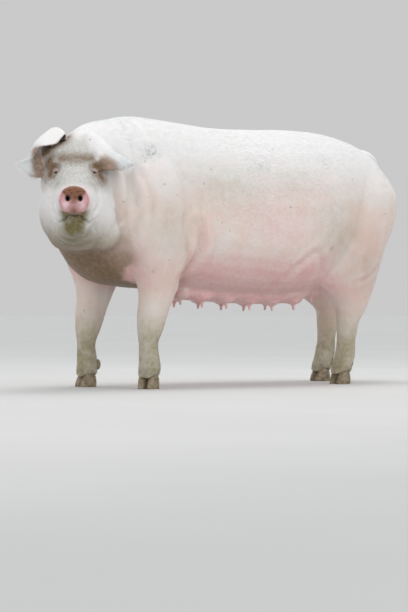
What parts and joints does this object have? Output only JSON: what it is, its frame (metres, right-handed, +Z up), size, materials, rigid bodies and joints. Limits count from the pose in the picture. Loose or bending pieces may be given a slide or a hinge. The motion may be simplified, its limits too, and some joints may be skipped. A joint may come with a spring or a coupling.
{
  "type": "standing domestic sow, a life-size animal model",
  "caption": "White lop-eared domestic pig, a heavy pregnant sow standing with its head turned to its left, pink teats along the belly, dirt on the snout, legs and back",
  "frame": {"origin": "on the floor under the middle of the animal's bounding box", "axes": "+Z up; the trunk lies along X with the rump towards +X, the head towards -X and turned towards -Y, which is the animal's left"},
  "size_m": [1.6902, 0.682, 0.9301],
  "materials": {
    "head_skin": "short white coat over pink skin, stained brown round the eyes and olive at the chin",
    "neck_skin": "short white coat over pale pink skin",
    "body_skin": "short white coat over pink skin, with grey dirt patches on the back",
    "udder_skin": "thinly haired pink skin with darker pink teats",
    "leg_skin": "short white coat dulled by dried mud",
    "tail_skin": "short white coat over pink skin",
    "ear_skin": "white hair outside, bare pink-brown skin inside",
    "eye": "wet, dark",
    "hoof": "dull grey-brown horn"
  },
  "bodies": {
    "root": {"head": "head_skin", "neck": "neck_skin", "torso": "body_skin", "udder": "udder_skin", "tail": "tail_skin", "ear_left": "ear_skin", "ear_right": "ear_skin", "eye_left": "eye", "eye_right": "eye", "leg_front_left": "leg_skin", "leg_front_right": "leg_skin", "leg_hind_left": "leg_skin", "leg_hind_right": "leg_skin", "hoof_front_left_outer": "hoof", "dewclaw_front_left_outer": "hoof", "hoof_front_left_inner": "hoof", "dewclaw_front_left_inner": "hoof", "hoof_front_right_outer": "hoof", "dewclaw_front_right_outer": "hoof", "hoof_front_right_inner": "hoof", "dewclaw_front_right_inner": "hoof", "hoof_hind_left_outer": "hoof", "dewclaw_hind_left_outer": "hoof", "hoof_hind_left_inner": "hoof", "dewclaw_hind_left_inner": "hoof", "hoof_hind_right_outer": "hoof", "dewclaw_hind_right_outer": "hoof", "hoof_hind_right_inner": "hoof", "dewclaw_hind_right_inner": "hoof"}
  },
  "joints": []
}
